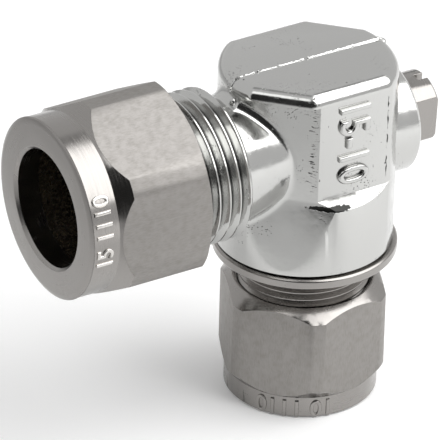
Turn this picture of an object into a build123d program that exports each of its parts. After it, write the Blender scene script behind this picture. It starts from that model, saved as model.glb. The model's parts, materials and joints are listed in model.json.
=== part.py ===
from build123d import *
import math
import os

# Angle ball valve for small pipes: compression inlet along -X, compression outlet down -Z
# Millimetres; the origin is the middle of the outlet mouth, with +Z up the outlet's axis

# The two pipe axes
inlet_height = 36.3                # inlet axis above the outlet mouth
inlet_reach = 38.5                 # inlet mouth out from the outlet axis

# Pipes, and the clearances that fits share
inlet_pipe_radius = 7.5
outlet_pipe_radius = 5.0
pipe_clearance = 0.2               # pipe in nut, olive and socket, radial
thread_clearance = 0.12            # nut's bore over the crests of the thread, radial
running_clearance = 0.05           # shafts in bores and rings in seats, radial
cone_gap = 0.16                    # olive to the cones that squeeze it, radial
olive_gap = 0.05                   # olive's end faces to their steps, axial
ball_gap = 0.15                    # ball to its seats

# Forged body, heights and depths from the inlet axis
barrel_radius = 11.55
barrel_shift = (-0.15, 0.15)       # forged barrel's middle off the machined outlet axis, x and y
barrel_depth = 14.5                # inlet axis down to the lower rim
barrel_height = 11.35              # inlet axis up to the flat top
top_edge_radius = 1.65
side_edge_radius = 1.6             # upright edges where flats meet the barrel
flat_cut_depth = 2.0               # front and back flats inside the barrel's round
flat_depth = 3.9                   # inlet axis down to the foot of the flats
ledge_slope_height = 1.0           # sloping ledges between flats and barrel
rim_chamfer = 0.35
corner_cut_depth = 1.25            # slanted flats at two corners of the top, inlet front and stem back
slant_cut_depth = 1.97             # slanted face below the inlet corner, inside the barrel's round
slant_top = 9.8                    # inlet axis up to the underside of that corner
slant_depth = 4.4                  # inlet axis down to the foot of the slanted face
slant_runout = 9.0                 # height over which that foot slopes out to the barrel
neck_radius = 8.7                  # neck where the inlet thread starts
neck_length = 2.5                  # barrel's round out to the start of the inlet thread
neck_end = barrel_radius + neck_length
neck_root_radius = 6.8             # neck at the root of its taper, inside the barrel
neck_root = 5.0                    # outlet axis out to that root
neck_blend = 1.3                   # hollow blend between neck and barrel
boss_radius = 7.5
boss_end = 12.65                   # outlet axis out to the end of the stem boss
boss_chamfer = 0.5

# Ways through the body
chamber_radius = 7.05
chamber_height = 7.4               # inlet axis up to the roof of the ball chamber
inlet_way_radius = 6.2
ball_way_radius = 4.6              # narrower way from the inlet to the ball
ball_way_start = 9.5               # outlet axis out to where it narrows
outlet_way_radius = 4.0

# Inlet compression end, lengths from its mouth inwards
inlet_thread_root = 9.08           # 20 mm fine thread, root and crest radius
inlet_thread_crest = 10.0
inlet_nut_length = 17.3
inlet_nut_flats = 24.0             # across flats
inlet_nut_corner = 13.2            # radius that the corners are turned to
inlet_nut_turn = -1.6              # turn of the hexagon, degrees
inlet_collar_radius = 11.8
inlet_collar_length = 4.0
inlet_shoulder_slope = 1.35        # nut's shoulder behind the collar, axial over radial
inlet_face_inset = 0.1             # inner end's face inside the flats
inlet_end_slope = 0.55             # chamfer at the nut's inner end, axial over radial
inlet_nut_wall = 3.4               # mouth to the step that the olive stands on
inlet_olive_length = 8.4
inlet_olive_entry = 2.0            # olive inside the spigot's cone
inlet_socket_depth = 20.6          # mouth to the pipe stop

# Outlet compression end
outlet_thread_root = 7.89          # 17 mm fine thread
outlet_thread_crest = 8.5
outlet_nut_length = 16.1
outlet_nut_flats = 20.0
outlet_nut_corner = 11.05
outlet_nut_turn = 9.0
outlet_collar_radius = 9.95
outlet_collar_length = 3.0
outlet_shoulder_slope = 1.27
outlet_face_inset = 0.75
outlet_end_slope = 0.86
outlet_nut_wall = 2.9
outlet_olive_length = 6.9
outlet_olive_entry = 1.8
outlet_socket_depth = 18.0

# Shared by both compression ends
collar_chamfer = 0.25
mouth_chamfer = 0.4
spigot_chamfer = 0.2
olive_lip = 0.3                    # olive's wall at its ends
olive_swell = 0.85                 # olive's wall at its middle
olive_taper = 2.6

# Outlet connector that screws into the body
flange_radius = 11.95
flange_thickness = 1.45
flange_chamfer = 0.25
plug_radius = 8.2
plug_top_depth = 5.6               # inlet axis down to the top of the connector
plug_top_clearance = 0.2
seal_groove_rise = 0.7             # groove above the flange
seal_groove_width = 1.5
seal_groove_root = 7.2
seal_squeeze = 0.03                # rings stand this far inside their grooves

# Ball and its two seats
ball_radius = 6.5
ball_port_radius = 4.0
ball_slot_floor = 5.0              # outlet axis out to the floor of the stem slot
seat_land = 3.6                    # inlet axis to the nearer face of each seat
lower_seat_radius = 6.55
lower_seat_bore = 4.1
lower_seat_depth = 7.6
upper_seat_bore = 3.0

# Stem, lengths along +X from the outlet axis
stem_turn = 3.7                    # stem and ball as photographed, degrees past fully open
stem_radius = 4.6
tongue_thickness = 2.4
tongue_width = 6.4
slot_clearance = 0.1
stem_collar_radius = 5.4
stem_collar_start = 7.3
stem_collar_end = 8.35
washer_thickness = 0.5
washer_gap = 0.05
stem_groove_middle = 10.6
stem_groove_width = 1.7
stem_groove_root = 3.4
head_start = 12.95
head_end = 17.3
head_across = 6.9                  # over the two wide flats
head_height = 8.65                 # over the two narrow flats
head_chamfer = 0.3
driver_slot_width = 1.2
driver_slot_depth = 1.4

# Frames: each compression end is made with its mouth at z = 0 and its depth along +z
inlet_frame = Plane(origin=(-inlet_reach, 0, inlet_height), x_dir=(0, 0, 1), z_dir=(1, 0, 0))
outlet_frame = Plane.XY
stem_frame = Plane(origin=(0, 0, inlet_height), x_dir=(0, 0, 1), z_dir=(1, 0, 0))
past_everything = 2 * (inlet_reach + inlet_height)


def turned(*points):
    """Solid of revolution about Z from (radius, height) points."""
    return revolve(Plane.XZ * make_face(Polyline(*points, close=True)), Axis.Z)


def rod(radius, start, end):
    """Round bar along Z."""
    return Pos(0, 0, start) * Cylinder(radius, end - start, align=(Align.CENTER, Align.CENTER, Align.MIN))


def ring(section_radius, ring_radius, height):
    """Round-section seal ring about Z."""
    return Pos(0, 0, height) * Torus(ring_radius, section_radius)


def olive_places(nut_wall, olive_length):
    """Heights of an olive's two ends above the mouth."""
    start = nut_wall + olive_gap
    return start, start + olive_length


def olive_slope():
    """Radial rise over axial length of an olive's cones."""
    return (olive_swell - olive_lip) / olive_taper


def compression_nut(pipe_radius, thread_crest, length, flats, corner, turn, collar_radius, collar_length,
                    shoulder_slope, face_inset, end_slope, nut_wall, olive_length):
    """Hexagon nut with a round collar at its mouth and a cone that squeezes the olive."""
    face_radius = flats / 2 - face_inset
    shoulder_end = collar_length + (corner - collar_radius) * shoulder_slope
    end_chamfer_start = length - (corner - face_radius) * end_slope
    envelope = turned(
        (0, 0), (collar_radius - collar_chamfer, 0), (collar_radius, collar_chamfer),
        (collar_radius, collar_length), (corner, shoulder_end), (corner, end_chamfer_start),
        (face_radius, length), (0, length))
    hexagon = extrude(Rot(0, 0, turn) * RegularPolygon(flats / 2, 6, major_radius=False), length)
    bore = pipe_radius + pipe_clearance
    start, end = olive_places(nut_wall, olive_length)
    cone_radius = bore + olive_lip + cone_gap
    cone_end = start + olive_taper
    thread_bore = thread_crest + thread_clearance
    inside = turned(
        (0, 0), (bore + mouth_chamfer, 0), (bore, mouth_chamfer), (bore, nut_wall),
        (cone_radius - olive_gap * olive_slope(), nut_wall),
        (cone_radius + olive_taper * olive_slope(), cone_end), (thread_bore, cone_end),
        (thread_bore, length - mouth_chamfer), (thread_bore + mouth_chamfer, length), (0, length))
    return (hexagon & envelope) + (envelope & rod(collar_radius, 0, collar_length)) - inside


def olive(pipe_radius, nut_wall, olive_length):
    """Barrel-shaped ring with a cone at each end."""
    bore = pipe_radius + pipe_clearance
    start, end = olive_places(nut_wall, olive_length)
    return turned(
        (bore, start), (bore + olive_lip, start), (bore + olive_swell, start + olive_taper),
        (bore + olive_swell, end - olive_taper), (bore + olive_lip, end), (bore, end))


def spigot(thread_root, nut_wall, olive_length, olive_entry, far_end):
    """Outside of the spigot that the nut screws on, up to far_end."""
    start, end = olive_places(nut_wall, olive_length)
    face = end - olive_entry
    return turned((0, face), (thread_root - spigot_chamfer, face), (thread_root, face + spigot_chamfer),
                  (thread_root, far_end), (0, far_end))


def socket(pipe_radius, nut_wall, olive_length, olive_entry, depth):
    """Hollow of the spigot: the olive's cone, then the pipe's socket."""
    bore = pipe_radius + pipe_clearance
    start, end = olive_places(nut_wall, olive_length)
    face = end - olive_entry
    cone_radius = bore + olive_lip + cone_gap
    step = end + olive_gap
    return turned(
        (0, face), (cone_radius + olive_entry * olive_slope(), face),
        (cone_radius - olive_gap * olive_slope(), step), (bore, step), (bore, depth), (0, depth))


def body():
    """One forging: barrel with flats, inlet neck and spigot, stem boss."""
    bottom = inlet_height - barrel_depth
    boss = stem_frame * turned(
        (0, 0), (boss_radius, 0), (boss_radius, boss_end - boss_chamfer),
        (boss_radius - boss_chamfer, boss_end), (0, boss_end))
    thread = inlet_frame * spigot(inlet_thread_root, inlet_nut_wall, inlet_olive_length,
                                  inlet_olive_entry, inlet_reach - neck_end)
    outside = with_neck(Pos(*barrel_shift) * (barrel(bottom) - slanted_cut())) + boss + thread
    return outside - hollow(bottom)


def on_neck(edge):
    """Whether an edge runs along the neck's own surface."""
    middle = edge @ 0.5
    out = math.hypot(middle.Y, middle.Z - inlet_height)
    taper = (-middle.X - neck_root) / (neck_end - neck_root)
    return abs(out - neck_root_radius - taper * (neck_radius - neck_root_radius)) < running_clearance


def with_neck(bar):
    """The bar with the inlet neck blended into it."""
    neck = stem_frame * turned((0, -neck_end), (neck_radius, -neck_end), (neck_root_radius, -neck_root),
                               (0, -neck_root))
    joined = bar + neck
    seam = joined.edges().filter_by(lambda edge: on_neck(edge) and -neck_end < edge.center().X < 0)
    return fillet(seam, neck_blend)


def flat_cut(azimuth, depth, top, foot, slope_height):
    """What a flat takes off the barrel's round, with a ledge at its foot that slopes out to the round."""
    flat = barrel_radius - depth
    outer = barrel_radius + depth
    ledge_foot = foot - slope_height
    profile = make_face(Polyline(
        (flat, top), (flat, foot), (barrel_radius, ledge_foot), (outer, ledge_foot - slope_height),
        (outer, top), close=True))
    return Rot(0, 0, azimuth) * extrude(Plane.XZ * profile, barrel_radius, both=True)


def barrel(bottom):
    """Upright barrel with flats front and back, two slanted corners and a rounded top edge."""
    top = inlet_height + barrel_height
    flat_foot = inlet_height - flat_depth
    shape = turned(
        (0, bottom), (barrel_radius - rim_chamfer, bottom), (barrel_radius, bottom + rim_chamfer),
        (barrel_radius, top), (0, top))
    shape -= flat_cut(270, flat_cut_depth, top, flat_foot, ledge_slope_height)
    shape -= flat_cut(90, flat_cut_depth, top, flat_foot, ledge_slope_height)
    shape -= flat_cut(45, corner_cut_depth, top, flat_foot, ledge_slope_height)
    shape -= flat_cut(225, corner_cut_depth, top, inlet_height, ledge_slope_height)
    upright = shape.edges().filter_by(Axis.Z).filter_by(lambda edge: abs(edge.center().Y) > rim_chamfer)
    shape = fillet(upright, side_edge_radius)
    return fillet(shape.faces().sort_by(Axis.Z)[-1].edges(), top_edge_radius)


def slanted_cut():
    """Cut that leaves the slanted face between inlet neck and front flat, under the corner of the top."""
    return flat_cut(225, slant_cut_depth, inlet_height + slant_top, inlet_height - slant_depth, slant_runout)


def hollow(bottom):
    """Everything cut out of the forging."""
    plug_bore = plug_radius + running_clearance
    plug_roof = inlet_height - plug_top_depth + plug_top_clearance
    roof = inlet_height + chamber_height
    collar_bore = stem_collar_radius + pipe_clearance
    washer_face = stem_collar_end + washer_gap + washer_thickness
    ways = rod(plug_bore, bottom, plug_roof) + rod(chamber_radius, bottom, roof)
    ways += stem_frame * rod(ball_way_radius, -ball_way_start, 0)
    ways += stem_frame * rod(inlet_way_radius, inlet_socket_depth - inlet_reach, -ball_way_start)
    ways += stem_frame * rod(collar_bore, 0, washer_face)
    ways += stem_frame * rod(stem_radius + running_clearance, 0, boss_end)
    return ways + inlet_frame * socket(inlet_pipe_radius, inlet_nut_wall, inlet_olive_length,
                                       inlet_olive_entry, inlet_socket_depth)


def outlet_connector():
    """Turned piece that closes the body from below and carries the outlet thread."""
    flange_top = inlet_height - barrel_depth
    flange_foot = flange_top - flange_thickness
    plug_top = inlet_height - plug_top_depth
    seat_floor = inlet_height - lower_seat_depth
    groove_foot = flange_top + seal_groove_rise
    groove_top = groove_foot + seal_groove_width
    outside = turned(
        (0, flange_foot), (flange_radius - flange_chamfer, flange_foot),
        (flange_radius, flange_foot + flange_chamfer), (flange_radius, flange_top - flange_chamfer),
        (flange_radius - flange_chamfer, flange_top), (plug_radius, flange_top),
        (plug_radius, groove_foot), (seal_groove_root, groove_foot), (seal_groove_root, groove_top),
        (plug_radius, groove_top), (plug_radius, plug_top), (0, plug_top))
    outside += outlet_frame * spigot(outlet_thread_root, outlet_nut_wall, outlet_olive_length,
                                     outlet_olive_entry, flange_top)
    ways = rod(lower_seat_radius + running_clearance, seat_floor, plug_top)
    ways += rod(outlet_way_radius, 0, plug_top)
    ways += outlet_frame * socket(outlet_pipe_radius, outlet_nut_wall, outlet_olive_length,
                                  outlet_olive_entry, outlet_socket_depth)
    return outside - ways


def connector_seal():
    """Round seal ring in the connector's groove."""
    bore = plug_radius + running_clearance
    section = (bore - seal_groove_root) / 2 - seal_squeeze
    middle = inlet_height - barrel_depth + seal_groove_rise + seal_groove_width / 2
    return ring(section, (bore + seal_groove_root) / 2, middle)


def seat_hollow():
    """Sphere that the ball's seats are cut to."""
    return Pos(0, 0, inlet_height) * Sphere(ball_radius + ball_gap)


def lower_ball_seat():
    """Seat ring in the top of the connector."""
    foot = inlet_height - lower_seat_depth
    face = inlet_height - seat_land
    blank = rod(lower_seat_radius, foot, face) - rod(lower_seat_bore, foot, face)
    return blank - seat_hollow()


def upper_ball_seat():
    """Seat ring against the roof of the ball chamber."""
    face = inlet_height + seat_land
    roof = inlet_height + chamber_height
    blank = rod(chamber_radius - running_clearance, face, roof) - rod(upper_seat_bore, face, roof)
    return blank - seat_hollow()


def as_photographed(piece):
    """A piece along +z of the stem's axis, turned with the stem."""
    return stem_frame * (Rot(0, 0, stem_turn) * piece)


def ball():
    """Ball with an angled way through it and a slot for the stem; its depth runs along the stem."""
    axial = rod(ball_port_radius, -past_everything, 0)
    down = Rot(0, -90, 0) * rod(ball_port_radius, 0, past_everything)
    slot_width = tongue_thickness + 2 * slot_clearance
    slot = Pos(0, 0, ball_slot_floor) * Box(
        slot_width, past_everything, past_everything, align=(Align.CENTER, Align.CENTER, Align.MIN))
    elbow = Sphere(ball_port_radius)
    return as_photographed(Sphere(ball_radius) - axial - down - elbow - slot)


def stem():
    """Turned stem: tongue, collar, groove for its seal, and a head milled for a spanner."""
    groove_start = stem_groove_middle - stem_groove_width / 2
    groove_end = stem_groove_middle + stem_groove_width / 2
    bar = turned(
        (0, stem_collar_start), (stem_collar_radius, stem_collar_start),
        (stem_collar_radius, stem_collar_end), (stem_radius, stem_collar_end),
        (stem_radius, groove_start), (stem_groove_root, groove_start), (stem_groove_root, groove_end),
        (stem_radius, groove_end), (stem_radius, head_end - head_chamfer),
        (stem_radius - head_chamfer, head_end), (0, head_end))
    milled = Pos(0, 0, head_start) * Box(
        head_height, head_across, past_everything, align=(Align.CENTER, Align.CENTER, Align.MIN))
    shank = rod(past_everything, 0, head_start)
    tongue = Pos(0, 0, ball_slot_floor + slot_clearance) * Box(
        tongue_thickness, tongue_width, stem_collar_start - ball_slot_floor - slot_clearance,
        align=(Align.CENTER, Align.CENTER, Align.MIN))
    driver_slot = Pos(0, 0, head_end - driver_slot_depth) * Box(
        past_everything, driver_slot_width, past_everything, align=(Align.CENTER, Align.CENTER, Align.MIN))
    return as_photographed((bar & (milled + shank)) + tongue - driver_slot)


def stem_thrust_washer():
    """Plain washer between the stem's collar and the body."""
    start = stem_collar_end + washer_gap
    end = start + washer_thickness
    bore = stem_radius + running_clearance
    return stem_frame * (rod(stem_collar_radius, start, end) - rod(bore, start, end))


def stem_seal():
    """Round seal ring in the stem's groove."""
    section = (stem_radius - stem_groove_root) / 2 - seal_squeeze
    return stem_frame * ring(section, (stem_radius + stem_groove_root) / 2, stem_groove_middle)


pieces = {
    "body": body(),
    "outlet_connector": outlet_connector(),
    "connector_seal": connector_seal(),
    "ball": ball(),
    "lower_ball_seat": lower_ball_seat(),
    "upper_ball_seat": upper_ball_seat(),
    "stem": stem(),
    "stem_thrust_washer": stem_thrust_washer(),
    "stem_seal": stem_seal(),
    "inlet_nut": inlet_frame * compression_nut(
        inlet_pipe_radius, inlet_thread_crest, inlet_nut_length, inlet_nut_flats, inlet_nut_corner,
        inlet_nut_turn, inlet_collar_radius, inlet_collar_length, inlet_shoulder_slope, inlet_face_inset,
        inlet_end_slope, inlet_nut_wall, inlet_olive_length),
    "inlet_olive": inlet_frame * olive(inlet_pipe_radius, inlet_nut_wall, inlet_olive_length),
    "outlet_nut": outlet_frame * compression_nut(
        outlet_pipe_radius, outlet_thread_crest, outlet_nut_length, outlet_nut_flats, outlet_nut_corner,
        outlet_nut_turn, outlet_collar_radius, outlet_collar_length, outlet_shoulder_slope, outlet_face_inset,
        outlet_end_slope, outlet_nut_wall, outlet_olive_length),
    "outlet_olive": outlet_frame * olive(outlet_pipe_radius, outlet_nut_wall, outlet_olive_length),
}

os.makedirs("parts", exist_ok=True)
for name, piece in pieces.items():
    export_step(piece, f"parts/{name}.step")
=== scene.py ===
import json
import math
import bmesh
import bpy
from mathutils import Matrix, Vector, noise

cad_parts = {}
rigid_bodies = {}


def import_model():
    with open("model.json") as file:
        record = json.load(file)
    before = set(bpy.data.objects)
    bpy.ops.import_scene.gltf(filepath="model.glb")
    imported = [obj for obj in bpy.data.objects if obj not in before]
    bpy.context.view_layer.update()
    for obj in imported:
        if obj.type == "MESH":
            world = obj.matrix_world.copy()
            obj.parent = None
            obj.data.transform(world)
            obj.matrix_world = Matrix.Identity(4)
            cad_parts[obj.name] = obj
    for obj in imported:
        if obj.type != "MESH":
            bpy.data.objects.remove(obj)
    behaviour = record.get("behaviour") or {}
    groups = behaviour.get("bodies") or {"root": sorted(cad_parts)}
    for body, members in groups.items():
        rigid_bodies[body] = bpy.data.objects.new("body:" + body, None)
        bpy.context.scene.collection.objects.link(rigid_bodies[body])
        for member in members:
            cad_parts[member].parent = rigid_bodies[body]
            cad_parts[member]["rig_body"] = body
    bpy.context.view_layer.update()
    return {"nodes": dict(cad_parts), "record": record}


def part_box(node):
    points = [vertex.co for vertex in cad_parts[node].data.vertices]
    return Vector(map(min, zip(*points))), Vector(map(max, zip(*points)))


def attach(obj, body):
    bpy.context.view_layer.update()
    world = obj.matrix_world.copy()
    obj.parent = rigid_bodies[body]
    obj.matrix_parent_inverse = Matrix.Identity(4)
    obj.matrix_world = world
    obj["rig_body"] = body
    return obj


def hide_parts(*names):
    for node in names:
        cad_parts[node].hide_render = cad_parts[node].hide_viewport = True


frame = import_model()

print("valve frame loaded,", len(frame["nodes"]), "nodes")

mm = 0.001  # the frame is in metres, sizes below are millimetres

# places that the frame gives
mounts = {mount["name"]: mount for mount in frame["record"]["mounts"]}
axisHeight = mounts["inlet_pipe_socket"]["pos_m"][2]
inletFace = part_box("inlet_nut")[0].x
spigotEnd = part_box("body")[0].x
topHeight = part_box("body")[1].z
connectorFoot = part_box("outlet_connector")[0].z


def linear(hexColour):  # sRGB hex to linear
    channels = [int(hexColour[i:i + 2], 16) / 255 for i in (1, 3, 5)]
    return [c / 12.92 if c <= 0.04045 else ((c + 0.055) / 1.055) ** 2.4 for c in channels] + [1.0]


def perMm(size):  # texture scale for a pattern of this size in millimetres
    return 1000.0 / size


def addNode(tree, kind, inputs=None, **settings):  # one node with its settings and links
    node = tree.nodes.new(kind)
    for key, value in settings.items():
        setattr(node, key, value)
    for name, value in (inputs or {}).items():
        if isinstance(value, bpy.types.NodeSocket):
            tree.links.new(value, node.inputs[name])
        else:
            node.inputs[name].default_value = value
    return node


def startMaterial(name, baseColour, metallic, roughness):
    material = bpy.data.materials.new(name)
    material.use_nodes = True
    tree = material.node_tree
    shader = tree.nodes["Principled BSDF"]
    shader.inputs["Base Color"].default_value = linear(baseColour)
    shader.inputs["Metallic"].default_value = metallic
    shader.inputs["Roughness"].default_value = roughness
    coords = addNode(tree, "ShaderNodeTexCoord").outputs["Object"]
    return material, tree, shader, coords


# chrome plate over a tumbled brass forging: mirror bright, with soft dimples, pits, torn edges, and painted
# shade in creases and under the front ledge
chromeForging = {
    "colour": "#bfbfbd", "pitAndShadeColour": "#333332", "roughness": (0.1, 0.2), "glossSpread": (0.35, 0.65),
    "dimple": 2.6, "dimpleRise": 0.1, "peel": 0.7, "peelRise": 0.03, "bump": 0.3,
    "pit": 0.34, "pitSize": (0.1, 0.3), "patch": 5.0, "patchShare": (0.57, 0.7), "pitDark": 0.8,
    "markDepth": 0.08, "markBump": 0.7,
    "tearFoot": -3.0, "tearFootFade": 1.0, "tearShare": (0.52, 0.75), "tearFade": 0.05,
    "tears": ({"place": (-4.8, -8.9), "reach": 1.1, "across": 0.9, "along": 0.22},
              {"place": (5.95, -9.4), "reach": 0.3, "across": 0.3, "along": 0.9}),
    # painted shade line under the front ledge: its middle, reach, raggedness and fade
    "ledgeShade": {"middle": (-2.9, -10.1, -4.74), "reach": (3.1, 2.9, 0.36), "grain": 0.45, "fade": (1.35, 1.5)},
    # painted shade in creases: occlusion distance, its range and how dark it gets
    "crease": 0.5, "creaseShade": (0.4, 0.7), "creaseDark": 0.7,
}


def makeChromeForging():
    look = chromeForging
    material, tree, shader, coords = startMaterial("chrome_on_forged_brass", look["colour"], 1.0, 0.15)
    dimple = addNode(tree, "ShaderNodeTexNoise", {"Vector": coords, "Scale": perMm(look["dimple"]),
                                                  "Detail": 2.0}).outputs[0]
    peel = addNode(tree, "ShaderNodeTexNoise", {"Vector": coords, "Scale": perMm(look["peel"]),
                                                "Detail": 3.0}).outputs[0]
    # pits, in patches
    pit = addNode(tree, "ShaderNodeTexVoronoi", {"Vector": coords, "Scale": perMm(look["pit"])}).outputs[0]
    patch = addNode(tree, "ShaderNodeTexNoise", {"Vector": coords, "Scale": perMm(look["patch"]),
                                                 "Detail": 2.0}).outputs[0]
    hole = addNode(tree, "ShaderNodeMapRange", {0: pit, 1: look["pitSize"][0], 2: look["pitSize"][1],
                                                3: 1.0, 4: 0.0}).outputs[0]
    here = addNode(tree, "ShaderNodeMapRange", {0: patch, 1: look["patchShare"][0], 2: look["patchShare"][1],
                                                3: 0.0, 4: look["pitDark"]}).outputs[0]
    marks = addNode(tree, "ShaderNodeMath", {0: hole, 1: here}, operation="MULTIPLY").outputs[0]
    # tears along two upright edges of the front panel
    plan = addNode(tree, "ShaderNodeVectorMath", {0: coords, 1: (1, 1, 0)}, operation="MULTIPLY").outputs[0]
    height = addNode(tree, "ShaderNodeSeparateXYZ", {0: coords}).outputs["Z"]
    foot = axisHeight + look["tearFoot"] * mm
    above = addNode(tree, "ShaderNodeMapRange", {0: height, 1: foot, 2: foot + look["tearFootFade"] * mm,
                                                 3: 0.0, 4: 1.0}).outputs[0]
    for edge in look["tears"]:
        x, y = edge["place"]
        across, along = perMm(edge["across"]), perMm(edge["along"])
        spread = addNode(tree, "ShaderNodeMapping", {"Vector": coords,
                                                     "Scale": (across, across, along)}).outputs[0]
        tear = addNode(tree, "ShaderNodeTexNoise", {"Vector": spread, "Scale": 1.0, "Detail": 2.0}).outputs[0]
        away = addNode(tree, "ShaderNodeVectorMath", {0: plan, 1: (x * mm, y * mm, 0)},
                       operation="DISTANCE").outputs["Value"]
        near = addNode(tree, "ShaderNodeMapRange", {0: away, 1: 0.0, 2: edge["reach"] * mm,
                                                    3: look["tearShare"][0],
                                                    4: look["tearShare"][1]}).outputs[0]
        past = addNode(tree, "ShaderNodeMath", {0: tear, 1: near}, operation="SUBTRACT").outputs[0]
        torn = addNode(tree, "ShaderNodeMapRange", {0: past, 1: 0.0, 2: look["tearFade"],
                                                    3: 0.0, 4: 1.0}).outputs[0]
        torn = addNode(tree, "ShaderNodeMath", {0: torn, 1: above}, operation="MULTIPLY").outputs[0]
        marks = addNode(tree, "ShaderNodeMath", {0: marks, 1: torn}, operation="MAXIMUM").outputs[0]
    # painted shade: a dark ragged line under the front ledge, also sunk a little by the bump
    ledgeShade = look["ledgeShade"]
    middle = Vector(ledgeShade["middle"]) * mm + Vector((0, 0, axisHeight))
    offset = addNode(tree, "ShaderNodeVectorMath", {0: coords, 1: middle}, operation="SUBTRACT").outputs[0]
    share = addNode(tree, "ShaderNodeVectorMath", {0: offset, 1: Vector(ledgeShade["reach"]) * mm},
                    operation="DIVIDE").outputs[0]
    out = addNode(tree, "ShaderNodeVectorMath", {0: share}, operation="LENGTH").outputs["Value"]
    ragged = addNode(tree, "ShaderNodeTexNoise", {"Vector": coords, "Scale": perMm(ledgeShade["grain"]),
                                                  "Detail": 2.0}).outputs[0]
    out = addNode(tree, "ShaderNodeMath", {0: out, 1: ragged}, operation="ADD").outputs[0]
    ledgeShadeShare = addNode(tree, "ShaderNodeMapRange", {0: out, 1: ledgeShade["fade"][0], 2: ledgeShade["fade"][1],
                                                  3: 1.0, 4: 0.0}).outputs[0]
    marks = addNode(tree, "ShaderNodeMath", {0: marks, 1: ledgeShadeShare}, operation="MAXIMUM").outputs[0]
    # painted shade: the chrome darkens toward the pit colour in tight creases, by ambient occlusion
    clear = addNode(tree, "ShaderNodeAmbientOcclusion", {"Distance": look["crease"] * mm},
                    samples=8).outputs["AO"]
    creaseShadeShare = addNode(tree, "ShaderNodeMapRange", {0: clear, 1: look["creaseShade"][0],
                                                2: look["creaseShade"][1],
                                                3: look["creaseDark"], 4: 0.0}).outputs[0]
    dark = addNode(tree, "ShaderNodeMath", {0: marks, 1: creaseShadeShare}, operation="MAXIMUM").outputs[0]
    # pits and tears are marks on the metal; the ledge line and the crease darkening are painted shade
    marksAndShadeTone = addNode(tree, "ShaderNodeMix", {0: dark, 6: linear(look["colour"]), 7: linear(look["pitAndShadeColour"])},
                    data_type="RGBA").outputs[2]
    tree.links.new(marksAndShadeTone, shader.inputs["Base Color"])
    gloss = addNode(tree, "ShaderNodeMapRange", {0: dimple, 1: look["glossSpread"][0],
                                                 2: look["glossSpread"][1],
                                                 3: look["roughness"][0], 4: look["roughness"][1]}).outputs[0]
    tree.links.new(gloss, shader.inputs["Roughness"])
    soft = addNode(tree, "ShaderNodeBump", {"Height": dimple, "Strength": look["bump"],
                                            "Distance": look["dimpleRise"] * mm}).outputs[0]
    grain = addNode(tree, "ShaderNodeBump", {"Height": peel, "Strength": look["bump"],
                                             "Distance": look["peelRise"] * mm, "Normal": soft}).outputs[0]
    sunk = addNode(tree, "ShaderNodeBump", {"Height": marks, "Strength": look["markBump"],
                                            "Distance": look["markDepth"] * mm, "Normal": grain},
                   invert=True).outputs[0]
    tree.links.new(sunk, shader.inputs["Normal"])
    return material


# satin nickel over turned brass: warm grey, fine lathe rings round the axis
turnedNickel = {"colour": "#999693", "roughness": (0.18, 0.3), "ring": 0.3, "ringRise": 0.02, "bump": 0.3,
                "cloud": 3.0, "glossSpread": (0.15, 0.4)}


def makeTurnedNickel(name, axis, centre):
    look = turnedNickel
    material, tree, shader, coords = startMaterial(name, look["colour"], 1.0, 0.3)
    local = addNode(tree, "ShaderNodeVectorMath", {0: coords, 1: centre}, operation="SUBTRACT").outputs[0]
    along = addNode(tree, "ShaderNodeVectorMath", {0: local, 1: axis},
                    operation="DOT_PRODUCT").outputs["Value"]
    axial = addNode(tree, "ShaderNodeVectorMath", {0: axis, "Scale": along}, operation="SCALE").outputs[0]
    across = addNode(tree, "ShaderNodeVectorMath", {0: local, 1: axial}, operation="SUBTRACT").outputs[0]
    radius = addNode(tree, "ShaderNodeVectorMath", {0: across}, operation="LENGTH").outputs["Value"]
    depth = addNode(tree, "ShaderNodeMath", {0: along, 1: radius}, operation="ADD").outputs[0]
    ring = addNode(tree, "ShaderNodeTexNoise", {"W": depth, "Scale": perMm(look["ring"]), "Detail": 3.0},
                   noise_dimensions="1D").outputs[0]
    cloud = addNode(tree, "ShaderNodeTexNoise", {"Vector": coords, "Scale": perMm(look["cloud"]),
                                                 "Detail": 4.0}).outputs[0]
    both = addNode(tree, "ShaderNodeMath", {0: ring, 1: cloud}, operation="MULTIPLY").outputs[0]
    gloss = addNode(tree, "ShaderNodeMapRange", {0: both, 1: look["glossSpread"][0],
                                                 2: look["glossSpread"][1],
                                                 3: look["roughness"][0], 4: look["roughness"][1]}).outputs[0]
    tree.links.new(gloss, shader.inputs["Roughness"])
    bump = addNode(tree, "ShaderNodeBump", {"Height": ring, "Strength": look["bump"],
                                            "Distance": look["ringRise"] * mm}).outputs[0]
    tree.links.new(bump, shader.inputs["Normal"])
    return material


# satin nickel over drawn hexagon bar: soft lines along the bar and a cloudy bloom
drawnNickel = {"colour": "#9b9895", "bloom": "#94918d", "roughness": (0.48, 0.56), "bloomSpread": (0.15, 0.4),
               "line": 0.14, "stretch": 5.0, "lineRise": 0.02, "lineBump": 0.25,
               "cloud": 1.0, "cloudRise": 0.05, "cloudBump": 0.15}


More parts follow.
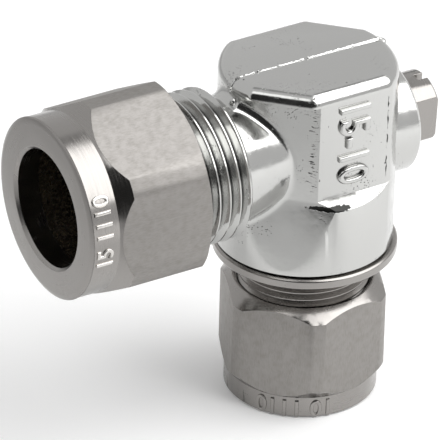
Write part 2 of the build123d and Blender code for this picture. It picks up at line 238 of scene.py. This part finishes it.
def makeDrawnNickel(name, axis):
    look = drawnNickel
    material, tree, shader, coords = startMaterial(name, look["colour"], 1.0, 0.38)
    squeeze = [1.0 / look["stretch"] if abs(part) > 0.5 else 1.0 for part in axis]
    lines = addNode(tree, "ShaderNodeMapping", {"Vector": coords, "Scale": squeeze}).outputs[0]
    line = addNode(tree, "ShaderNodeTexNoise", {"Vector": lines, "Scale": perMm(look["line"]),
                                                "Detail": 2.0}).outputs[0]
    cloud = addNode(tree, "ShaderNodeTexNoise", {"Vector": coords, "Scale": perMm(look["cloud"]),
                                                 "Detail": 5.0}).outputs[0]
    both = addNode(tree, "ShaderNodeMath", {0: line, 1: cloud}, operation="MULTIPLY").outputs[0]
    share = addNode(tree, "ShaderNodeMapRange", {0: both, 1: look["bloomSpread"][0],
                                                 2: look["bloomSpread"][1], 3: 0.0, 4: 1.0}).outputs[0]
    tone = addNode(tree, "ShaderNodeMix", {0: share, 6: linear(look["colour"]), 7: linear(look["bloom"])},
                   data_type="RGBA").outputs[2]
    tree.links.new(tone, shader.inputs["Base Color"])
    gloss = addNode(tree, "ShaderNodeMapRange", {0: share, 1: 0.0, 2: 1.0, 3: look["roughness"][0],
                                                 4: look["roughness"][1]}).outputs[0]
    tree.links.new(gloss, shader.inputs["Roughness"])
    bump = addNode(tree, "ShaderNodeBump", {"Height": line, "Strength": look["lineBump"],
                                            "Distance": look["lineRise"] * mm}).outputs[0]
    grain = addNode(tree, "ShaderNodeBump", {"Height": cloud, "Strength": look["cloudBump"],
                                             "Distance": look["cloudRise"] * mm, "Normal": bump}).outputs[0]
    tree.links.new(grain, shader.inputs["Normal"])
    return material


# small plain finishes: the hidden pieces, and the raised figures, lightened as a painted highlight
plainFinishes = {
    "hard_chrome_polished": {"colour": "#d4d4d4", "metallic": 1.0, "roughness": 0.08, "grain": 0.6},
    "turned_brass_bare": {"colour": "#b8ae9c", "metallic": 1.0, "roughness": 0.25, "grain": 0.4},
    # lighter colour on the raised figures is a painted highlight; lower roughness too
    "satin_nickel_painted_highlight": {"colour": "#d8d5d1", "metallic": 1.0, "roughness": 0.18, "grain": 0.5},
    "white_ptfe_machined": {"colour": "#ecebe6", "metallic": 0.0, "roughness": 0.45, "grain": 0.5},
    "black_rubber_moulded": {"colour": "#1b1b1b", "metallic": 0.0, "roughness": 0.6, "grain": 0.3},
}


def makePlain(name):
    look = plainFinishes[name]
    material, tree, shader, coords = startMaterial(name, look["colour"], look["metallic"], look["roughness"])
    grain = addNode(tree, "ShaderNodeTexNoise", {"Vector": coords, "Scale": perMm(look["grain"]),
                                                 "Detail": 3.0}).outputs[0]
    gloss = addNode(tree, "ShaderNodeMapRange", {0: grain, 1: 0.3, 2: 0.7, 3: look["roughness"] * 0.8,
                                                 4: look["roughness"] * 1.25}).outputs[0]
    tree.links.new(gloss, shader.inputs["Roughness"])
    bump = addNode(tree, "ShaderNodeBump", {"Height": grain, "Strength": 0.15,
                                            "Distance": 0.02 * mm}).outputs[0]
    tree.links.new(bump, shader.inputs["Normal"])
    return material


alongX, alongZ = (1.0, 0.0, 0.0), (0.0, 0.0, 1.0)
inletCentre, outletCentre = (0.0, 0.0, axisHeight), (0.0, 0.0, 0.0)
chrome = makeChromeForging()
inletTurned = makeTurnedNickel("satin_nickel_turned_inlet", alongX, inletCentre)
outletTurned = makeTurnedNickel("satin_nickel_turned_outlet", alongZ, outletCentre)
inletDrawn = makeDrawnNickel("satin_nickel_drawn_inlet", alongX)
outletDrawn = makeDrawnNickel("satin_nickel_drawn_outlet", alongZ)
plain = {name: makePlain(name) for name in plainFinishes}
print("finishes made")


def newPiece(name, bm, material, body):
    mesh = bpy.data.meshes.new(name)
    bm.to_mesh(mesh)
    bm.free()
    piece = bpy.data.objects.new(name, mesh)
    bpy.context.scene.collection.objects.link(piece)
    mesh.materials.append(material)
    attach(piece, body)
    mesh.shade_smooth()
    mesh.set_sharp_from_angle(angle=smoothLimit)
    return piece


# metal pieces take their CAD shape, with the small broken edges of deburred metal
edgeBreak = {"body": 0.16, "outlet_connector": 0.1, "inlet_nut": 0.12, "outlet_nut": 0.12, "stem": 0.1}
wideRims = {"inlet_nut": 0.5, "outlet_nut": 0.35}  # rounded outer rims of the nuts' end faces
acrossFlats = {"inlet_nut": 24, "outlet_nut": 20}
smoothLimit = math.radians(30)


def roundRim(node, bm):
    face = 0.0 if node == "outlet_nut" else inletFace
    centre = Vector((0, 0, axisHeight)) if node == "inlet_nut" else Vector((0, 0, 0))
    axis = Vector(alongX) if node == "inlet_nut" else Vector(alongZ)
    ends = [vert for vert in bm.verts if abs((vert.co - centre).dot(axis) - face) < 0.01 * mm]
    reach = {vert: ((vert.co - centre) - axis * face).length for vert in ends}
    outer = {vert for vert in ends if reach[vert] > max(reach.values()) - 0.02 * mm}
    rim = [edge for edge in bm.edges if edge.verts[0] in outer and edge.verts[1] in outer]
    bmesh.ops.bevel(bm, geom=rim, offset=wideRims[node] * mm, segments=4, profile=0.5, affect="EDGES")
    print("rim of", node, "rounded,", len(rim), "edges")


def deburred(node, name, material):
    bm = bmesh.new()
    bm.from_mesh(frame["nodes"][node].data)
    bmesh.ops.remove_doubles(bm, verts=bm.verts, dist=0.001 * mm)
    bmesh.ops.dissolve_limit(bm, angle_limit=math.radians(0.3), verts=bm.verts, edges=bm.edges)
    if node in wideRims:
        roundRim(node, bm)
    piece = newPiece(name, bm, material, frame["nodes"][node]["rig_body"])
    bevel = piece.modifiers.new("edges", "BEVEL")
    bevel.width = edgeBreak[node] * mm
    bevel.segments = 2
    bevel.limit_method = "ANGLE"
    bevel.angle_limit = smoothLimit
    bevel.harden_normals = True
    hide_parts(node)
    return piece


def giveFlats(piece, material, axis, centre, across):  # the hexagon's flats and corners get the drawn finish
    piece.data.materials.append(material)
    axis, centre = Vector(axis), Vector(centre)
    for polygon in piece.data.polygons:
        upright = abs(polygon.normal.dot(axis)) < 0.01
        if upright and (polygon.center - centre).dot(polygon.normal) > across / 2 - 0.02 * mm:
            polygon.material_index = 1


deburred("body", "valve_body_forging", chrome)
deburred("outlet_connector", "outlet_connector_turned", outletTurned)
inletNut = deburred("inlet_nut", "inlet_nut_hexagon", inletTurned)
outletNut = deburred("outlet_nut", "outlet_nut_hexagon", outletTurned)
deburred("stem", "stem_milled_head", inletTurned)
giveFlats(inletNut, inletDrawn, alongX, inletCentre, acrossFlats["inlet_nut"] * mm)
giveFlats(outletNut, outletDrawn, alongZ, outletCentre, acrossFlats["outlet_nut"] * mm)
nodeFinish = {
    "ball": "hard_chrome_polished", "inlet_olive": "turned_brass_bare", "outlet_olive": "turned_brass_bare",
    "lower_ball_seat": "white_ptfe_machined", "upper_ball_seat": "white_ptfe_machined",
    "stem_thrust_washer": "white_ptfe_machined", "stem_seal": "black_rubber_moulded",
    "connector_seal": "black_rubber_moulded",
}
for node, finish in nodeFinish.items():
    slot = frame["nodes"][node].material_slots[0]
    slot.link = "OBJECT"
    slot.material = plain[finish]
print("metal pieces deburred")

# right-handed thread ridges with a narrow flat crest, from the spigot's end to the last crest
threads = {
    "inlet": {"root": 9.08, "crest": 10.0, "pitch": 1.5, "axis": alongX, "centre": inletCentre,
              "start": spigotEnd, "end": -13.65 * mm, "material": chrome, "slot": "body_chrome"},
    "outlet": {"root": 7.89, "crest": 8.5, "pitch": 1.0, "axis": alongZ, "centre": outletCentre,
               "start": connectorFoot, "end": 19.4 * mm, "material": outletTurned, "slot": "turned_nickel"},
}
threadLook = {"stepsPerTurn": 96, "crestShare": 0.12, "sunk": 0.45, "runOut": 0.45}


def makeThread(name):
    shape = threads[name]
    pitch = shape["pitch"] * mm
    axis, centre = Vector(shape["axis"]), Vector(shape["centre"])
    root, crest = shape["root"] * mm, shape["crest"] * mm
    low = root - threadLook["sunk"] * mm
    halfCrest = threadLook["crestShare"] * pitch / 2
    first = shape["start"] + pitch / 2
    length = shape["end"] - first
    turn = length / pitch * 2 * math.pi
    steps = int(length / pitch * threadLook["stepsPerTurn"])
    out = Matrix.Rotation(-turn, 3, axis) @ Vector((0, 1, 0))  # so that the ridge ends at the back
    outline = [(-pitch / 2, low), (-pitch / 2, root), (-halfCrest, crest), (halfCrest, crest),
               (pitch / 2, root), (pitch / 2, low)]
    bm = bmesh.new()
    points = [bm.verts.new(centre + axis * (first + along) + out * radius) for along, radius in outline]
    for i, point in enumerate(points):
        bm.edges.new((point, points[i - 1]))
    bmesh.ops.spin(bm, geom=bm.verts[:] + bm.edges[:], cent=centre, axis=axis, dvec=axis * length / steps,
                   angle=turn, steps=steps)
    bmesh.ops.holes_fill(bm, edges=[edge for edge in bm.edges if edge.is_boundary])
    for vert in bm.verts:  # the last part of a turn runs out into the root
        along = (vert.co - centre).dot(axis)
        middle = centre + axis * along
        reach = (vert.co - middle).length
        left = (shape["end"] - along) / (threadLook["runOut"] * pitch)
        if left < 1 and reach > root + 0.05 * mm:
            vert.co = middle + (vert.co - middle) * (root + (reach - root) * max(left, 0.02)) / reach
    bmesh.ops.recalc_face_normals(bm, faces=bm.faces)
    return newPiece(name + "_thread", bm, shape["material"], "valve_body")


for name in threads:
    makeThread(name)
print("threads cut")

# flash left by the forging dies along their parting line: up the inlet side and over the top
flash = {"aside": 0.1, "leftWall": -11.7, "rightWall": 11.4, "round": 1.65, "rightTurn": 55, "foot": 8.2,
         "step": 0.14, "halfWidth": (0.17, 0.46), "rise": (0.13, 0.32), "sunk": 0.2, "grain": 0.8,
         "uneven": 1.3, "ragged": 2.4, "leastRise": 0.12, "sway": 0.26, "calm": 0.75,
         "drops": (((-12.0, -1.1, 8.5), (0.5, 0.5, 0.8)), ((10.75, 0.1, 10.75), (0.55, 0.6, 0.5))),
         # places across the ridge and shares of its rise there, with its two feet inside the metal
         "section": ((-1, None), (-0.8, 0.15), (-0.25, 0.9), (0.15, 1), (0.6, 0.7), (1, None))}


def flashStation(along):  # place on the parting line and the way out of the metal there
    look = flash
    top = (topHeight - axisHeight) / mm
    wall = top - look["round"] - look["foot"]
    bend = look["round"] * math.pi / 2
    roof = look["rightWall"] - look["leftWall"] - 2 * look["round"]
    turn = math.pi - min(max(along - wall, 0), bend) / look["round"]
    turn -= max(along - wall - bend - roof, 0) / look["round"]
    x = look["leftWall"] + look["round"] * (1 + math.cos(turn)) + min(max(along - wall - bend, 0), roof)
    z = look["foot"] + min(along, wall) + look["round"] * math.sin(turn)
    return Vector((x, look["aside"], z)), Vector((math.cos(turn), 0, math.sin(turn)))


def makeFlash():
    look = flash
    top = (topHeight - axisHeight) / mm
    total = (top - look["round"] - look["foot"] + look["rightWall"] - look["leftWall"] - 2 * look["round"]
             + look["round"] * (math.pi / 2 + math.radians(look["rightTurn"])))
    origin = Vector((0, 0, axisHeight))
    bm = bmesh.new()
    before = None
    count = int(total / look["step"])
    for i in range(count + 1):
        share = i / count
        place, out = flashStation(total * share)
        uneven = noise.noise(Vector((total * share / look["grain"], 0, 0)))
        ragged = noise.noise(Vector((total * share / look["grain"] * 2.3, 5, 0)))
        wild = 1 - look["calm"] * share
        half = look["halfWidth"][0] + (look["halfWidth"][1] - look["halfWidth"][0]) * share ** 2
        half *= 1 + look["uneven"] * uneven * wild
        rise = look["rise"][0] + (look["rise"][1] - look["rise"][0]) * share ** 2
        rise *= max(look["leastRise"], 1 + look["ragged"] * ragged * wild)
        row = []
        for across, lift in look["section"]:
            height = -look["sunk"] if lift is None else lift * rise
            sway = Vector((0, across * half + look["sway"] * uneven * wild, 0))
            row.append(bm.verts.new(origin + (place + sway + out * height) * mm))
        if before:
            for j in range(len(look["section"]) - 1):
                bm.faces.new((before[j], before[j + 1], row[j + 1], row[j]))
        before = row
    for middle, size in look["drops"]:
        drop = Matrix.Translation(origin + Vector(middle) * mm) @ Matrix.Diagonal(Vector(size) * mm).to_4x4()
        bmesh.ops.create_icosphere(bm, subdivisions=3, radius=1.0, matrix=drop)
    bmesh.ops.recalc_face_normals(bm, faces=bm.faces)
    return newPiece("forging_flash", bm, chrome, "valve_body")


makeFlash()
print("flash left along the parting line")

# raised numbers: plain ones on the front panel, and the pipe sizes round the nuts' collars
panelNumbers = {"words": "15-10", "size": 6.1, "rise": 0.3, "edge": 0.28, "heavier": -0.16, "squeeze": 0.86,
                "centre": (0.6, 3.8), "face": 9.4}
inletNumbers = {"words": "15 1110", "size": 3.1, "rise": 0.06, "edge": 0.16, "heavier": -0.06, "radius": 11.8,
                "along": 2.0, "turn": math.radians(9)}
outletNumbers = {"words": "10 1110", "size": 3.2, "rise": 0.04, "edge": 0.13, "heavier": -0.04,
                 "radius": 9.95, "along": 1.5, "turn": math.radians(-36)}


def lettering(name, look, place, material, body):
    curve = bpy.data.curves.new(name, "FONT")
    curve.body = look["words"]
    curve.size = look["size"] * mm
    curve.extrude = look["rise"] * mm
    curve.bevel_depth = look["edge"] * mm
    curve.offset = look["heavier"] * mm
    curve.bevel_resolution = 3
    curve.align_x = "CENTER"
    curve.align_y = "CENTER"
    writing = bpy.data.objects.new(name, curve)
    mesh = bpy.data.meshes.new_from_object(writing)
    bpy.data.objects.remove(writing)
    bm = bmesh.new()
    bm.from_mesh(mesh)
    for vert in bm.verts:
        vert.co = place(look, vert.co)
    return newPiece(name, bm, material, body)


def onPanel(look, co):  # reads downwards, tops to the right
    x, z = look["centre"]
    return Vector((x * mm + co.y, -look["face"] * mm - co.z, axisHeight + z * mm - co.x * look["squeeze"]))


def roundInlet(look, co):  # reads upwards round the collar
    reach = look["radius"] * mm + co.z
    turn = look["turn"] + co.x / (look["radius"] * mm)
    return Vector((inletFace + look["along"] * mm - co.y, -reach * math.cos(turn),
                   axisHeight + reach * math.sin(turn)))


def roundOutlet(look, co):  # tops point down
    reach = look["radius"] * mm + co.z
    turn = look["turn"] - co.x / (look["radius"] * mm)
    return Vector((reach * math.sin(turn), -reach * math.cos(turn), look["along"] * mm - co.y))


lettering("panel_numbers", panelNumbers, onPanel, chrome, "valve_body")
# the inlet figures take the lightened finish, a painted highlight
lettering("inlet_size_numbers", inletNumbers, roundInlet, plain["satin_nickel_painted_highlight"], "inlet_nut_screw")
lettering("outlet_size_numbers", outletNumbers, roundOutlet, outletTurned, "outlet_nut_screw")
print("numbers raised")

# pale floor, with painted shade on parts of it, and soft studio light
studio = {"floorSize": 6.0, "floorColour": "#f7f7f7", "floorShadeColour": "#d2d2d2", "farFloorShadeColour": "#1c1c1c",
          "floorLift": 0.11, "room": 0.76, "softboxSize": 0.46, "softboxDistance": 0.42,
          "softboxWay": (0.464, -0.42, 0.78), "softboxWatts": 1.8}
# millimetres from the valve, where the pale floor fades into painted grey shade and, further off, into
# painted near-black shade
floorShadeEdges = {"frontWay": (-0.536, -0.844, 0.0), "front": (22, 90), "end": (340, 700),
              "sideWay": (0.844, -0.536, 0.0), "right": (20, 75), "left": (-130, -42), "endRight": (150, 300)}
roomSides = [  # directions, cones in degrees and brightness
    {"way": (-0.48, -0.82, 0.3), "inner": 38, "outer": 48, "level": 0.03},  # unlit side of the room
    {"way": (-0.47, -0.21, 0.86), "inner": 7, "outer": 13, "level": 1.8},  # small lamp over the inlet
    {"way": (0.03, 0.32, 0.95), "inner": 6, "outer": 13, "level": 0.4},  # dark rail behind the softbox
    {"way": (0.465, 0.32, 0.83), "inner": 6, "outer": 11, "level": 0.4},
]
floorBm = bmesh.new()
bmesh.ops.create_grid(floorBm, x_segments=1, y_segments=1, size=studio["floorSize"] / 2)
floorMesh = bpy.data.meshes.new("floor")
floorBm.to_mesh(floorMesh)
floorBm.free()
floor = bpy.data.objects.new("floor", floorMesh)
bpy.context.scene.collection.objects.link(floor)
paper, paperTree, paperShader, paperCoords = startMaterial("white_paper_matt", studio["floorColour"],
                                                           0.0, 0.8)
ray = addNode(paperTree, "ShaderNodeLightPath").outputs
seen = addNode(paperTree, "ShaderNodeMath", {0: ray["Is Camera Ray"], 1: ray["Is Glossy Ray"]},
               operation="ADD").outputs[0]
seen = addNode(paperTree, "ShaderNodeMath", {0: seen, 1: ray["Is Transmission Ray"]},
               operation="ADD").outputs[0]
toFront = addNode(paperTree, "ShaderNodeVectorMath", {0: paperCoords, 1: floorShadeEdges["frontWay"]},
                  operation="DOT_PRODUCT").outputs["Value"]
toSide = addNode(paperTree, "ShaderNodeVectorMath", {0: paperCoords, 1: floorShadeEdges["sideWay"]},
                 operation="DOT_PRODUCT").outputs["Value"]
fades = [addNode(paperTree, "ShaderNodeMapRange", {0: distance, 1: ends[0] * mm, 2: ends[1] * mm,
                                                   3: low, 4: high},
                 interpolation_type="SMOOTHSTEP").outputs[0]
         for distance, ends, low, high in ((toFront, floorShadeEdges["front"], 0.0, 1.0),
                                           (toSide, floorShadeEdges["right"], 1.0, 0.0),
                                           (toSide, floorShadeEdges["left"], 1.0, 0.0),
                                           (toFront, floorShadeEdges["end"], 0.0, 1.0),
                                           (toSide, floorShadeEdges["endRight"], 1.0, 0.0))]
# painted shade on the floor: grey to the front and left of the valve
bare = addNode(paperTree, "ShaderNodeMath", {0: fades[0], 1: fades[1]}, operation="MULTIPLY").outputs[0]
bare = addNode(paperTree, "ShaderNodeMath", {0: bare, 1: fades[2]}, operation="MAXIMUM").outputs[0]
paperTone = addNode(paperTree, "ShaderNodeMix", {0: bare, 6: linear(studio["floorColour"]),
                                                 7: linear(studio["floorShadeColour"])},
                    data_type="RGBA").outputs[2]
# painted near-black shade far in front of the valve
farFloorShadeShare = addNode(paperTree, "ShaderNodeMath", {0: fades[3], 1: fades[4]}, operation="MULTIPLY").outputs[0]
paperTone = addNode(paperTree, "ShaderNodeMix", {0: farFloorShadeShare, 6: paperTone, 7: linear(studio["farFloorShadeColour"])},
                    data_type="RGBA").outputs[2]
paperTree.links.new(paperTone, paperShader.inputs["Base Color"])
white = addNode(paperTree, "ShaderNodeMapRange", {0: bare, 3: studio["floorLift"], 4: 0.0}).outputs[0]
lift = addNode(paperTree, "ShaderNodeMath", {0: seen, 1: white}, operation="MULTIPLY").outputs[0]
paperShader.inputs["Emission Color"].default_value = linear("#ffffff")
paperTree.links.new(lift, paperShader.inputs["Emission Strength"])
floorMesh.materials.append(paper)

world = bpy.data.worlds.new("studio")
bpy.context.scene.world = world
world.use_nodes = True
sky = world.node_tree
background = sky.nodes["Background"]
background.inputs["Color"].default_value = linear("#ffffff")
way = addNode(sky, "ShaderNodeTexCoord").outputs["Generated"]
level = studio["room"]
for side in roomSides:
    near = addNode(sky, "ShaderNodeVectorMath", {0: way, 1: Vector(side["way"]).normalized()},
                   operation="DOT_PRODUCT").outputs["Value"]
    mask = addNode(sky, "ShaderNodeMapRange", {0: near, 1: math.cos(math.radians(side["outer"])),
                                               2: math.cos(math.radians(side["inner"]))},
                   interpolation_type="SMOOTHSTEP").outputs[0]
    level = addNode(sky, "ShaderNodeMix", {"Factor": mask, "A": level, "B": side["level"]}).outputs[0]
sky.links.new(level, background.inputs["Strength"])

softbox = bpy.data.lights.new("softbox", "AREA")
softbox.size = studio["softboxSize"]
softbox.energy = studio["softboxWatts"]
lamp = bpy.data.objects.new("softbox", softbox)
bpy.context.scene.collection.objects.link(lamp)
boxWay = Vector(studio["softboxWay"]).normalized()
lamp.location = Vector((0, 0, axisHeight)) + boxWay * studio["softboxDistance"]
lamp.rotation_euler = boxWay.to_track_quat("Z", "Y").to_euler()

# camera at the photograph's viewing angle, worked out from the nuts' circles and hexagons
photoFrame = {"pixels": 440, "azimuth": 32.402, "elevation": 30.026, "roll": 1.934, "distance": 0.927,
              "pixelsPerMm": 7.8426, "axisPixel": (307.889, 135.369), "sensor": 36.0}


def placeCamera():
    view = photoFrame
    azimuth, elevation, roll = (math.radians(view[key]) for key in ("azimuth", "elevation", "roll"))
    back = Vector((-math.sin(azimuth) * math.cos(elevation), -math.cos(azimuth) * math.cos(elevation),
                   math.sin(elevation)))
    right = Vector((math.cos(azimuth), -math.sin(azimuth), 0))
    up = back.cross(right)
    rolledRight = right * math.cos(roll) + up * math.sin(roll)
    rolledUp = up * math.cos(roll) - right * math.sin(roll)
    origin = Vector((0, 0, axisHeight))
    middle = view["pixels"] / 2
    aside = (middle - view["axisPixel"][0]) / view["pixelsPerMm"] * mm
    down = (middle - view["axisPixel"][1]) / view["pixelsPerMm"] * mm
    target = origin + rolledRight * aside - rolledUp * down
    place = origin + back * view["distance"]
    looking = (target - place).normalized()
    side = looking.cross(rolledUp).normalized()
    turn = Matrix((side, side.cross(looking), -looking)).transposed()
    camera = bpy.data.cameras.new("camera")
    camera.sensor_width = view["sensor"]
    camera.lens = view["sensor"] * view["pixelsPerMm"] * view["distance"] / mm / view["pixels"]
    holder = bpy.data.objects.new("camera", camera)
    bpy.context.scene.collection.objects.link(holder)
    holder.matrix_world = Matrix.Translation(place) @ turn.to_4x4()
    bpy.context.scene.camera = holder


placeCamera()
bpy.context.scene.view_settings.view_transform = "Standard"
print("studio set")
